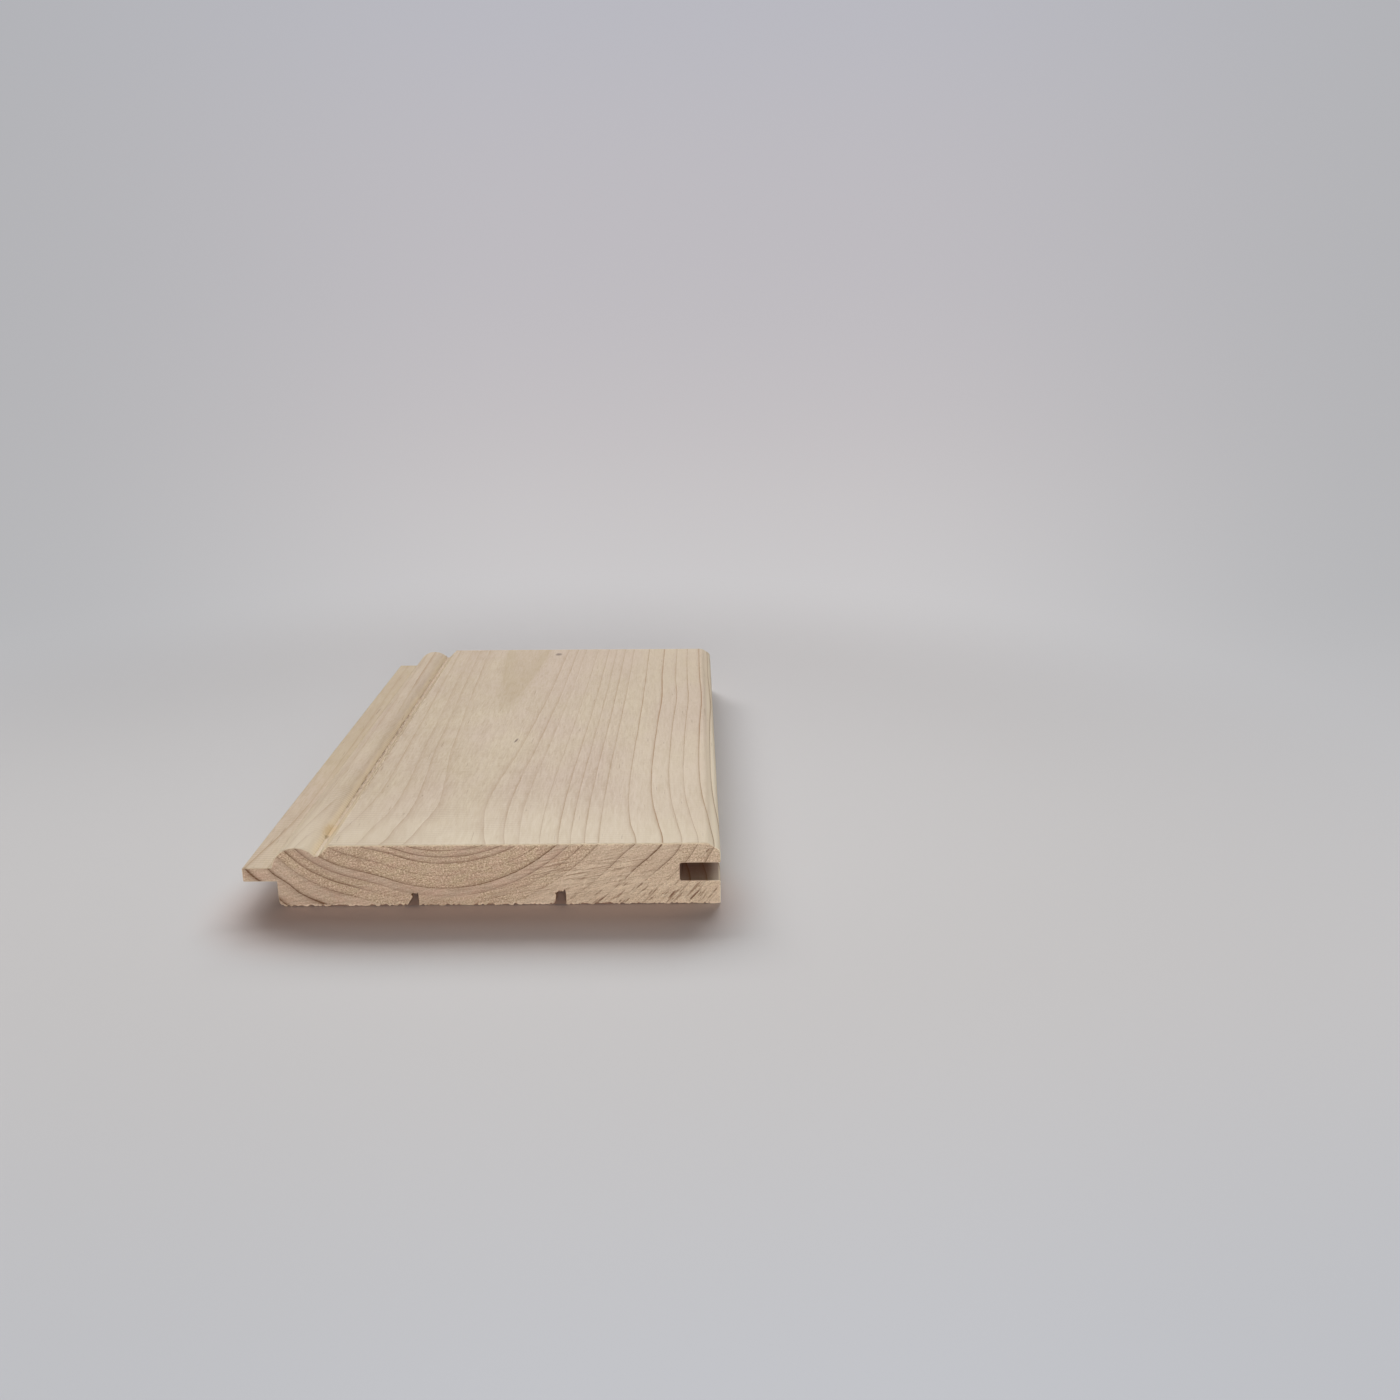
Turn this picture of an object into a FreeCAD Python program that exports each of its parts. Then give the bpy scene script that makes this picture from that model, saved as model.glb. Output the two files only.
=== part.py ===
# Beaded tongue and groove board: one short length of planed softwood panelling.
# The section is machined from one sawn blank. The left edge carries the tongue, with a half-round bead
# and a quirk above it, the right edge carries the groove, and two relief grooves are cut in the back.
# All sizes are millimetres. The sections are drawn with x = 0 on the bead's outer side, where two
# laid boards touch, and z = 0 on the back. The length runs along y, half to each side.
import FreeCAD, Part
import Sketcher
import math
import os

SIZES = {
    # the laid board
    "board_length": 200.0,
    "cover_width": 121.0,           # from one bead's outer side to the next
    "board_thickness": 18.0,
    # tongue and groove
    "tongue_length": 8.0,
    "tongue_thickness": 4.0,
    "joint_play": 0.6,              # free height above and below the tongue in its groove
    "tongue_end_gap": 3.0,          # free depth beyond the tongue's tip
    "face_lip": 5.8,                # wood between the face and the groove
    "shoulder_setback": 1.1,        # the back shoulder stands clear, so the face side closes first
    "tongue_tip_chamfer": 0.4,
    "groove_corner_radius": 0.6,
    # bead and quirk
    "bead_radius": 6.7,
    "bead_sink": 0.6,               # the bead's crown lies this far below the face
    "quirk_depth": 3.0,
    "quirk_floor": 0.9,
    "quirk_slope_width": 3.1,
    # eased edges
    "lip_arris_width": 3.4,
    "lip_arris_drop": 2.2,
    "lip_arris_radius": 2.0,
    "back_arris_radius": 1.0,
    # relief grooves in the back
    "relief_width": 2.8,
    "relief_depth": 3.6,
    "relief_setback": 37.6,         # from the bead's outer side to the middle of the first
    "relief_spacing": 40.0,
    "relief_count": 2,
    # how far a cutter's outline runs out past the blank
    "cutter_overrun": 2.0,
}

doc = FreeCAD.newDocument("tongue_and_groove_board")
sheet = doc.addObject("Spreadsheet::Sheet", "Sizes")
for row, (alias, value) in enumerate(SIZES.items(), start=1):
    sheet.set(f"A{row}", alias)
    sheet.set(f"B{row}", str(value))
    sheet.setAlias(f"B{row}", alias)
doc.recompute()

# Heights and depths that the tongue and its groove share, for the sketches' dimensions.
GROOVE_TOP = "Sizes.board_thickness - Sizes.face_lip"
GROOVE_HEIGHT = "Sizes.tongue_thickness + 2 * Sizes.joint_play"
GROOVE_DEPTH = "Sizes.tongue_length + Sizes.tongue_end_gap"
TONGUE_TOP = f"{GROOVE_TOP} - Sizes.joint_play"
TONGUE_BOTTOM = f"{TONGUE_TOP} - Sizes.tongue_thickness"

# The same places as numbers, for drawing the outlines and for finding edges.
groove_top = sheet.board_thickness - sheet.face_lip
groove_bottom = groove_top - sheet.tongue_thickness - 2 * sheet.joint_play
groove_floor = sheet.cover_width - sheet.tongue_length - sheet.tongue_end_gap
tongue_top = groove_top - sheet.joint_play
tongue_bottom = tongue_top - sheet.tongue_thickness
outside_left = -sheet.tongue_length - sheet.cutter_overrun
outside_right = sheet.cover_width + sheet.cutter_overrun
above_face = sheet.board_thickness + sheet.cutter_overrun
below_back = -sheet.cutter_overrun

START, END, CENTRE = 1, 2, 3    # a sketch element's points
ORIGIN = (-1, 1)                # the sketch's origin
SAME_PLACE = 0.001              # points closer than this are one corner

body = doc.addObject("PartDesign::Body", "board")
body.Label = "board"
planes = {feature.Role: feature for feature in body.Origin.OriginFeatures}


def section_sketch(name):
    """An empty sketch on the board's middle cross-section."""
    sketch = body.newObject("Sketcher::SketchObject", name)
    sketch.AttachmentSupport = [(planes["XZ_Plane"], "")]
    sketch.MapMode = "FlatFace"
    return sketch


def join_ends(sketch, pairs):
    """Each pair of element points becomes one corner of the outline."""
    for here, there in pairs:
        sketch.addConstraint(Sketcher.Constraint("Coincident", *here, *there))


def square_up(sketch, horizontal, vertical):
    """Keeps the outline's level and upright lines so."""
    for line in horizontal:
        sketch.addConstraint(Sketcher.Constraint("Horizontal", line))
    for line in vertical:
        sketch.addConstraint(Sketcher.Constraint("Vertical", line))


def bind(sketch, name, expression, index):
    """Makes a dimension of the sketch follow the sheet."""
    sketch.renameConstraint(index, name)
    sketch.setExpression(f"Constraints.{name}", expression)


def distance(sketch, name, direction, here, there, expression):
    """A distance along X or Y from one point to another, the second further right or higher."""
    gap = sketch.getPoint(*there) - sketch.getPoint(*here)
    drawn = gap.x if direction == "DistanceX" else gap.y
    index = sketch.addConstraint(Sketcher.Constraint(direction, *here, *there, drawn))
    bind(sketch, name, expression, index)


def rectangle(sketch, left, right, low, high):
    """A closed rectangle. Its lines are the bottom, the right side, the top and the left side."""
    corners = [(left, low), (right, low), (right, high), (left, high)]
    vectors = [FreeCAD.Vector(x, y, 0) for x, y in corners]
    bottom, right_side, top, left_side = (
        sketch.addGeometry(Part.LineSegment(here, there), False)
        for here, there in zip(vectors, vectors[1:] + vectors[:1])
    )
    lines = [bottom, right_side, top, left_side]
    following = lines[1:] + lines[:1]
    join_ends(sketch, [((line, END), (after, START)) for line, after in zip(lines, following)])
    square_up(sketch, (bottom, top), (right_side, left_side))
    return lines


def cut_through(name, sketch):
    """A cutter's pass along the whole board, both ways from the middle section."""
    cut = body.newObject("PartDesign::Pocket", name)
    cut.Profile = sketch
    cut.Type = "ThroughAll"
    cut.SideType = "Symmetric"
    doc.recompute()
    return cut


def long_edges(feature, places):
    """The names of the edges along the board that run through the given (x, z) places."""
    names = []
    for x, z in places:
        for number, edge in enumerate(feature.Shape.Edges, start=1):
            ends = [vertex.Point for vertex in edge.Vertexes]
            runs_through = all(math.hypot(end.x - x, end.z - z) < SAME_PLACE for end in ends)
            if len(ends) == 2 and runs_through:
                names.append(f"Edge{number}")
    if len(names) != len(places):
        raise ValueError(f"{feature.Name}: found {len(names)} of {len(places)} edges")
    return names


def round_over(name, base, places, radius):
    """A fillet on the long edges through the given places."""
    fillet = body.newObject("PartDesign::Fillet", name)
    fillet.Base = (base, long_edges(base, places))
    fillet.setExpression("Radius", radius)
    doc.recompute()
    return fillet


# The blank: the full width with the tongue, planed to thickness.
blank_section = section_sketch("blank_section")
bottom, right_side, top, left_side = rectangle(
    blank_section, -sheet.tongue_length, sheet.cover_width, 0, sheet.board_thickness
)
blank_section.addConstraint(Sketcher.Constraint("PointOnObject", bottom, START, -1))
distance(blank_section, "tongue_length", "DistanceX", (bottom, START), ORIGIN, "Sizes.tongue_length")
distance(blank_section, "cover_width", "DistanceX", ORIGIN, (bottom, END), "Sizes.cover_width")
distance(blank_section, "thickness", "DistanceY", ORIGIN, (top, START), "Sizes.board_thickness")

blank = body.newObject("PartDesign::Pad", "blank")
blank.Profile = blank_section
blank.SideType = "Symmetric"
blank.setExpression("Length", "Sizes.board_length")
doc.recompute()

# The tongue's top, the bead and the quirk, which one cutter shapes in one pass.
bead_section = section_sketch("bead_section")
bead_centre = FreeCAD.Vector(
    sheet.bead_radius, sheet.board_thickness - sheet.bead_sink - sheet.bead_radius, 0
)
quirk_floor_height = sheet.board_thickness - sheet.quirk_depth
bead_start_angle = math.asin((quirk_floor_height - bead_centre.y) / sheet.bead_radius)
bead_end_angle = math.pi - math.asin((tongue_top - bead_centre.y) / sheet.bead_radius)
bead_outline = Part.ArcOfCircle(
    Part.Circle(bead_centre, FreeCAD.Vector(0, 0, 1), sheet.bead_radius), bead_start_angle, bead_end_angle
)
bead_foot = bead_outline.EndPoint
quirk_left = bead_outline.StartPoint
quirk_right = quirk_left + FreeCAD.Vector(sheet.quirk_floor, 0, 0)
face_edge = FreeCAD.Vector(quirk_right.x + sheet.quirk_slope_width, sheet.board_thickness, 0)
above_edge = FreeCAD.Vector(face_edge.x, above_face, 0)
far_above = FreeCAD.Vector(outside_left, above_face, 0)
far_out = FreeCAD.Vector(outside_left, tongue_top, 0)

bead = bead_section.addGeometry(bead_outline, False)
quirk, slope, rise, over, outer, tongue_upper = (
    bead_section.addGeometry(Part.LineSegment(here, there), False)
    for here, there in (
        (quirk_left, quirk_right),
        (quirk_right, face_edge),
        (face_edge, above_edge),
        (above_edge, far_above),
        (far_above, far_out),
        (far_out, bead_foot),
    )
)
run = [quirk, slope, rise, over, outer, tongue_upper]
join_ends(bead_section, [((line, END), (after, START)) for line, after in zip(run, run[1:])])
join_ends(bead_section, [((tongue_upper, END), (bead, END)), ((bead, START), (quirk, START))])
square_up(bead_section, (quirk, over, tongue_upper), (rise, outer))
radius = bead_section.addConstraint(Sketcher.Constraint("Radius", bead, sheet.bead_radius))
bind(bead_section, "bead_radius", "Sizes.bead_radius", radius)
distance(bead_section, "bead_middle", "DistanceX", ORIGIN, (bead, CENTRE), "Sizes.bead_radius")
distance(
    bead_section, "bead_height", "DistanceY", ORIGIN, (bead, CENTRE),
    "Sizes.board_thickness - Sizes.bead_sink - Sizes.bead_radius",
)
distance(bead_section, "tongue_top", "DistanceY", ORIGIN, (tongue_upper, START), TONGUE_TOP)
distance(
    bead_section, "quirk_height", "DistanceY", ORIGIN, (quirk, END),
    "Sizes.board_thickness - Sizes.quirk_depth",
)
distance(bead_section, "quirk_floor", "DistanceX", (quirk, START), (quirk, END), "Sizes.quirk_floor")
distance(bead_section, "quirk_slope", "DistanceX", (slope, START), (slope, END), "Sizes.quirk_slope_width")
distance(bead_section, "face_height", "DistanceY", ORIGIN, (slope, END), "Sizes.board_thickness")
distance(bead_section, "run_up", "DistanceY", (rise, START), (rise, END), "Sizes.cutter_overrun")
distance(
    bead_section, "run_out", "DistanceX", (outer, END), ORIGIN,
    "Sizes.tongue_length + Sizes.cutter_overrun",
)
bead_cut = cut_through("bead_and_quirk", bead_section)

# The rebate under the tongue, up to the back shoulder.
rebate_section = section_sketch("rebate_section")
bottom, right_side, top, left_side = rectangle(
    rebate_section, outside_left, sheet.shoulder_setback, below_back, tongue_bottom
)
distance(rebate_section, "shoulder", "DistanceX", ORIGIN, (bottom, END), "Sizes.shoulder_setback")
distance(rebate_section, "tongue_bottom", "DistanceY", ORIGIN, (top, START), TONGUE_BOTTOM)
distance(rebate_section, "run_down", "DistanceY", (bottom, START), ORIGIN, "Sizes.cutter_overrun")
distance(
    rebate_section, "run_out", "DistanceX", (bottom, START), ORIGIN,
    "Sizes.tongue_length + Sizes.cutter_overrun",
)
rebate_cut = cut_through("tongue_rebate", rebate_section)

# The groove in the other edge, which takes the next board's tongue.
groove_section = section_sketch("groove_section")
bottom, right_side, top, left_side = rectangle(
    groove_section, groove_floor, outside_right, groove_bottom, groove_top
)
distance(groove_section, "groove_top", "DistanceY", ORIGIN, (top, START), GROOVE_TOP)
distance(groove_section, "groove_height", "DistanceY", (left_side, END), (left_side, START), GROOVE_HEIGHT)
distance(
    groove_section, "groove_floor", "DistanceX", ORIGIN, (left_side, END),
    f"Sizes.cover_width - ({GROOVE_DEPTH})",
)
distance(
    groove_section, "run_out", "DistanceX", ORIGIN, (bottom, END),
    "Sizes.cover_width + Sizes.cutter_overrun",
)
groove_cut = cut_through("groove", groove_section)

# One relief groove in the back, repeated across it. They let the board stay flat as it dries.
relief_section = section_sketch("relief_section")
relief_left = sheet.relief_setback - sheet.relief_width / 2
bottom, right_side, top, left_side = rectangle(
    relief_section, relief_left, relief_left + sheet.relief_width, below_back, sheet.relief_depth
)
distance(
    relief_section, "relief_side", "DistanceX", ORIGIN, (bottom, START),
    "Sizes.relief_setback - Sizes.relief_width / 2",
)
distance(relief_section, "relief_width", "DistanceX", (bottom, START), (bottom, END), "Sizes.relief_width")
distance(relief_section, "relief_depth", "DistanceY", ORIGIN, (top, START), "Sizes.relief_depth")
distance(relief_section, "run_down", "DistanceY", (bottom, START), ORIGIN, "Sizes.cutter_overrun")
relief_cut = cut_through("relief_groove", relief_section)

relief_row = body.newObject("PartDesign::LinearPattern", "relief_grooves")
relief_row.Originals = [relief_cut]
relief_row.Direction = (planes["X_Axis"], [""])
relief_row.Mode = "Spacing"
relief_row.setExpression("Offset", "Sizes.relief_spacing")
relief_row.setExpression("Occurrences", "Sizes.relief_count")
body.Tip = relief_row
doc.recompute()

# The eased edges. The groove lip's face edge is bevelled and its two corners are rounded over, so that
# the joint between two boards looks like the quirk on the bead's other side.
edges = long_edges(relief_row, [(sheet.cover_width, sheet.board_thickness)])
lip_bevel = body.newObject("PartDesign::Chamfer", "lip_bevel")
lip_bevel.Base = (relief_row, edges)
lip_bevel.ChamferType = "Two distances"
lip_bevel.setExpression("Size", "Sizes.lip_arris_drop")
lip_bevel.setExpression("Size2", "Sizes.lip_arris_width")
doc.recompute()

bevel_corners = [
    (sheet.cover_width - sheet.lip_arris_width, sheet.board_thickness),
    (sheet.cover_width, sheet.board_thickness - sheet.lip_arris_drop),
]
lip_round = round_over("lip_round", lip_bevel, bevel_corners, "Sizes.lip_arris_radius")
back_round = round_over(
    "back_round", lip_round, [(sheet.shoulder_setback, 0)], "Sizes.back_arris_radius"
)
floor_corners = [(groove_floor, groove_bottom), (groove_floor, groove_top)]
groove_round = round_over("groove_round", back_round, floor_corners, "Sizes.groove_corner_radius")

tip_corners = [(-sheet.tongue_length, tongue_bottom), (-sheet.tongue_length, tongue_top)]
edges = long_edges(groove_round, tip_corners)
tongue_tip = body.newObject("PartDesign::Chamfer", "tongue_tip")
tongue_tip.Base = (groove_round, edges)
tongue_tip.setExpression("Size", "Sizes.tongue_tip_chamfer")

# The board's own origin is in the middle of its full width, on the back.
body.setExpression("Placement.Base.x", "-(Sizes.cover_width - Sizes.tongue_length) / 2")
doc.recompute()

# Nothing is written unless every feature is sound and every pass has taken wood away.
failed = [item.Name for item in doc.Objects if "Invalid" in item.State or "Error" in item.State]
if failed:
    raise RuntimeError(f"these features failed: {failed}")
sketches = [item for item in doc.Objects if item.TypeId == "Sketcher::SketchObject"]
loose = [sketch.Name for sketch in sketches if not sketch.FullyConstrained]
if loose:
    raise RuntimeError(f"these sketches can still move: {loose}")
passes = [blank, bead_cut, rebate_cut, groove_cut, relief_cut, lip_bevel, tongue_tip]
for before, after in zip(passes, passes[1:]):
    if after.Shape.Volume >= before.Shape.Volume:
        raise RuntimeError(f"{after.Name} took no wood away")
board = body.Shape
if board.isNull() or not board.isValid() or len(board.Solids) != 1:
    raise RuntimeError("the board is not one sound solid")

os.makedirs("parts", exist_ok=True)
board.exportStep(f"parts/{body.Label}.step")
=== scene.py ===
import math

import bpy
from mathutils import Euler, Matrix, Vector


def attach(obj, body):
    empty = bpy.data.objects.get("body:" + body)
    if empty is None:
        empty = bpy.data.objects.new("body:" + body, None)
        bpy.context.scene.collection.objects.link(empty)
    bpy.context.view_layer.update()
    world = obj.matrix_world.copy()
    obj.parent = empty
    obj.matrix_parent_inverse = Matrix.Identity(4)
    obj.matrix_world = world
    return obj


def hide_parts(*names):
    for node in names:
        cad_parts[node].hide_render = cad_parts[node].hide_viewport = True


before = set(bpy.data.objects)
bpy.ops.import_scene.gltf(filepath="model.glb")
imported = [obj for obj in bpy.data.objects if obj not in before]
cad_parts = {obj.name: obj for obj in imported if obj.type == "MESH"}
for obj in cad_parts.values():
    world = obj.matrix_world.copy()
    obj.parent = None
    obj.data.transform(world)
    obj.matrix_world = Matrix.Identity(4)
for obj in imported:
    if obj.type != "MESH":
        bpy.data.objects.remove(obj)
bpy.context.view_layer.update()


# The camera stands in front of the board's near end and looks down over its face, through a phone's
# wide lens, so the far end draws in quickly and both the end grain and the face are seen.
camera = bpy.data.objects.new("camera", bpy.data.cameras.new("camera"))
camera.data.sensor_width = 36.0
camera.data.lens = 33.22
camera.data.clip_start = 0.01
camera.location = (0.05755, -0.41926, 0.15803)
camera.rotation_euler = Euler([math.radians(angle) for angle in (72.63, 0.305, -0.393)])
bpy.context.scene.collection.objects.link(camera)
bpy.context.scene.camera = camera
bpy.context.scene.view_settings.view_transform = "Standard"


# The board's section: the outline that the moulder's cutters leave, with the tongue, bead and quirk on the left, the
# groove on the right and two relief grooves in the back. It is drawn in millimetres from the bead's outer side and the
# back, with its sharp corners eased a little, as a cutter leaves them, all but where the bead meets the tongue and the
# quirk.
MM = 0.001
cover_width = 121.0
thickness = 18.0
length = 200.0
tongue_length = 8.0
tongue_top = 11.6
tongue_bottom = 7.6
groove_top = 12.2
groove_bottom = 7.0
groove_floor = 110.0
shoulder = 1.1
bead_radius = 6.7
bead_centre_height = 10.7
quirk_height = 15.0
quirk_floor_width = 0.9
quirk_slope_width = 3.1
lip_arris_width = 3.4
lip_arris_drop = 2.2
relief_depth = 3.6
relief_width = 2.8
relief_lefts = (36.2, 76.2)
middle_across = (cover_width - tongue_length) / 2


def eased_outline(corners):
    """A closed outline through corners of (x, z, rounding radius, spacing of the points up to the next)."""
    tangent_points = []
    for index, (x, z, radius, spacing) in enumerate(corners):
        here = Vector((x, z))
        arriving = (here - Vector(corners[index - 1][:2])).normalized()
        leaving = (Vector(corners[(index + 1) % len(corners)][:2]) - here).normalized()
        turn = -arriving.angle_signed(leaving)
        reach = radius * math.tan(abs(turn) / 2)
        inward = Vector((-arriving.y, arriving.x)) * math.copysign(1.0, turn)
        centre = here - arriving * reach + inward * radius
        steps = max(1, math.ceil(abs(turn) / math.radians(24))) if radius else 0
        arc = []
        for step in range(steps + 1):
            swing = turn * step / max(1, steps)
            spoke = -inward * radius
            arc.append(
                centre + Vector((
                    spoke.x * math.cos(swing) - spoke.y * math.sin(swing),
                    spoke.x * math.sin(swing) + spoke.y * math.cos(swing),
                ))
            )
        tangent_points.append((arc, spacing))
    outline = []
    for (arc, spacing), (next_arc, _) in zip(tangent_points, tangent_points[1:] + tangent_points[:1]):
        outline += arc
        gap = next_arc[0] - arc[-1]
        count = max(1, round(gap.length / spacing))
        outline += [arc[-1] + gap * step / count for step in range(1, count)]
    return outline


bead_foot_angle = math.pi - math.asin((tongue_top - bead_centre_height) / bead_radius)
bead_quirk_angle = math.asin((quirk_height - bead_centre_height) / bead_radius)
quirk_left = bead_radius * (1 + math.cos(bead_quirk_angle))
quirk_right = quirk_left + quirk_floor_width
bead_steps = 44
bead = []
for step in range(bead_steps + 1):
    angle = bead_quirk_angle + (bead_foot_angle - bead_quirk_angle) * step / bead_steps
    bead.append(
        (bead_radius * (1 + math.cos(angle)), bead_centre_height + bead_radius * math.sin(angle), 0.0, 1.0)
    )

arris = 0.28
corners = [
    (-tongue_length, tongue_bottom, 0.35, 0.5),
    (shoulder, tongue_bottom, 0.15, 0.6),
    (shoulder, 0.0, 1.0, 0.33),
]
for left in relief_lefts:
    corners += [
        (left, 0.0, arris, 0.17),
        (left, relief_depth, 0.1, 0.16),
        (left + relief_width, relief_depth, 0.1, 0.18),
        (left + relief_width, 0.0, arris, 0.33),
    ]
corners += [
    (cover_width, 0.0, 0.35, 0.6),
    (cover_width, groove_bottom, arris, 0.9),
    (groove_floor, groove_bottom, 0.6, 0.6),
    (groove_floor, groove_top, 0.6, 0.9),
    (cover_width, groove_top, arris, 0.6),
    (cover_width, thickness - lip_arris_drop, 1.9, 0.5),
    (cover_width - lip_arris_width, thickness, 1.9, 1.2),
    (quirk_right + quirk_slope_width, thickness, 0.35, 0.25),
    (quirk_right, quirk_height, 0.2, 0.3),
]
corners += bead
corners += [(-tongue_length, tongue_top, 0.35, 0.5)]
outline = eased_outline(corners)

section = bpy.data.meshes.new("board")
section.from_pydata(
    [((x - middle_across) * MM, 0.0, z * MM) for x, z in outline],
    [(index, (index + 1) % len(outline)) for index in range(len(outline))],
    [],
)

# What each point of the section is part of: which way is out of the wood, how much of the sawn back it is,
# how far the wood breaks away there at the end, and where fibres are pulled out of a relief groove's top.
for name, kind in (
    ("outward", "FLOAT_VECTOR"), ("sawn_back", "FLOAT"), ("spiked", "FLOAT"), ("break_out", "FLOAT_VECTOR"),
):
    section.attributes.new(name, kind, "POINT")
outward, sawn_back, spiked, break_out = (
    section.attributes[name].data for name in ("outward", "sawn_back", "spiked", "break_out")
)


def between(low, value, high):
    """How far the value is from low to high, 0 to 1, with a soft start and end."""
    share = min(1.0, max(0.0, (value - low) / (high - low)))
    return share * share * (3 - 2 * share)


# How far out of true the left side of each relief groove is at the end, by its height over the back: torn
# fibres bulge into it over a chipped mouth.
flanks = (
    ((0.0, -0.5), (0.7, 0.0), (2.0, 0.8), (2.9, 1.35), (3.3, 0.9), (3.8, 0.75)),
    ((0.0, -1.2), (0.8, -0.25), (2.0, 0.05), (3.2, 0.2), (3.8, -0.3)),
)
for index, (x, z) in enumerate(outline):
    along_outline = outline[(index + 1) % len(outline)] - outline[index - 1]
    along_outline.normalize()
    outward[index].vector = (along_outline.y, 0.0, -along_outline.x)
    sawn_back[index].value = 1.0 - between(0.0, z, 0.4)
    move_across = pulled_out = 0.0
    for left, flank, furry in zip(relief_lefts, flanks, (0.45, 0.9)):
        beside = x - left
        if z < relief_depth + 0.1 and -3.0 < beside < 1.4:
            for (low, off_low), (high, off_high) in zip(flank, flank[1:]):
                if low <= z <= high:
                    move_across = off_low + (off_high - off_low) * (z - low) / (high - low)
            move_across *= min(1.0, (beside + 3.0) / 3.0) * (1 - between(0.0, beside, 1.4))
        if z < relief_depth + 0.1:
            top = between(0.3, beside, 0.6) * (1 - between(relief_width - 0.25, beside, relief_width))
            teeth = 0.65 + 0.35 * math.cos(2 * math.pi * beside / 0.85)
            pulled_out = max(pulled_out, furry * top * teeth * between(3.2, z, 3.5))
    # The back's outer corner is worn rounder at the end.
    worn = 0.3 * math.exp(-((x - shoulder) ** 2 + z ** 2) / 1.6)
    break_out[index].vector = ((move_across + worn) * MM, 0.0, worn * MM)
    spiked[index].value = pulled_out

board = bpy.data.objects.new("board_wood", section)
bpy.context.scene.collection.objects.link(board)


# The board itself: one length of spruce, its section run along the grain and both ends cut square on a saw.
# The back is torn along the ends and beside the relief grooves, where the fibres had nothing behind them.
def add(tree, kind, inputs=None, **settings):
    """A node in the tree, with its settings and its unlinked inputs' values."""
    node = tree.nodes.new(kind)
    for name, value in settings.items():
        setattr(node, name, value)
    for name, value in (inputs or {}).items():
        socket = node.inputs[name]
        if isinstance(value, bpy.types.NodeSocket):
            tree.links.new(value, socket)
        else:
            socket.default_value = value
    return node


def maths(tree, operation, *values):
    """The output of a Math node on one to three numbers or sockets."""
    return add(tree, "ShaderNodeMath", dict(enumerate(values)), operation=operation).outputs[0]


def vector_maths(tree, operation, *values):
    """The output of a Vector Math node. A single number scales the vector before it."""
    inputs = {"Scale" if operation == "SCALE" and index else index: value for index, value in enumerate(values)}
    return add(tree, "ShaderNodeVectorMath", inputs, operation=operation).outputs[
        "Value" if operation in ("LENGTH", "DOT_PRODUCT") else "Vector"
    ]


def ramp(tree, value, low, high, to_low=0.0, to_high=1.0, smooth=True):
    """The value's share of the way from low to high, held at either end."""
    return add(
        tree, "ShaderNodeMapRange",
        {"Value": value, "From Min": low, "From Max": high, "To Min": to_low, "To Max": to_high},
        interpolation_type="SMOOTHSTEP" if smooth else "LINEAR",
    ).outputs["Result"]


def stored(tree, name, kind):
    """The value of one of the section's own attributes."""
    return add(tree, "GeometryNodeInputNamedAttribute", {"Name": name}, data_type=kind).outputs["Attribute"]


mill = bpy.data.node_groups.new("run the section along the grain", "GeometryNodeTree")
mill.interface.new_socket("Geometry", in_out="INPUT", socket_type="NodeSocketGeometry")
for name, kind, value in (
    ("Length", "NodeSocketFloat", length * MM),
    ("Rows", "NodeSocketInt", 118),
    ("End ease", "NodeSocketFloat", 0.16 * MM),
    ("Back roughness", "NodeSocketFloat", 0.1 * MM),
    ("End tear", "NodeSocketFloat", 0.6 * MM),
    ("Seed", "NodeSocketFloat", 4.0),
    ("Planed", "NodeSocketMaterial", None),
    ("Sawn end", "NodeSocketMaterial", None),
):
    socket = mill.interface.new_socket(name, in_out="INPUT", socket_type=kind)
    if value is not None:
        socket.default_value = value
mill.interface.new_socket("Geometry", in_out="OUTPUT", socket_type="NodeSocketGeometry")
given = add(mill, "NodeGroupInput").outputs

profile = add(
    mill, "GeometryNodeStoreNamedAttribute",
    {"Geometry": given["Geometry"], "Name": "section", "Value": add(mill, "GeometryNodeInputPosition").outputs[0]},
    data_type="FLOAT_VECTOR", domain="POINT",
).outputs[0]
profile = add(mill, "GeometryNodeMeshToCurve", {"Mesh": profile}).outputs[0]

# The rows crowd together towards both ends, where the wood is eased and torn.
rail = add(mill, "GeometryNodeCurvePrimitiveLine", {"Start": (0, -1, 0), "End": (0, 1, 0)}).outputs[0]
rail = add(mill, "GeometryNodeResampleCurve", {"Curve": rail, "Count": given["Rows"]}).outputs[0]
share = add(mill, "ShaderNodeSeparateXYZ", {"Vector": add(mill, "GeometryNodeInputPosition").outputs[0]}).outputs["Y"]
crowded = maths(mill, "SINE", maths(mill, "MULTIPLY", share, math.pi / 2))
along_rail = maths(mill, "MULTIPLY", crowded, maths(mill, "MULTIPLY", given["Length"], 0.5))
rail = add(
    mill, "GeometryNodeStoreNamedAttribute",
    {"Geometry": rail, "Name": "along", "Value": along_rail}, data_type="FLOAT", domain="POINT",
).outputs[0]
swept = add(mill, "GeometryNodeCurveToMesh", {"Curve": rail, "Profile Curve": profile, "Fill Caps": True}).outputs[0]

along = stored(mill, "along", "FLOAT")
section_place = stored(mill, "section", "FLOAT_VECTOR")
place = vector_maths(mill, "ADD", section_place, add(mill, "ShaderNodeCombineXYZ", {"Y": along}).outputs[0])
half = maths(mill, "MULTIPLY", given["Length"], 0.5)
from_near_end = maths(mill, "ADD", half, along)
from_end = maths(mill, "SUBTRACT", half, maths(mill, "ABSOLUTE", along))

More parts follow.
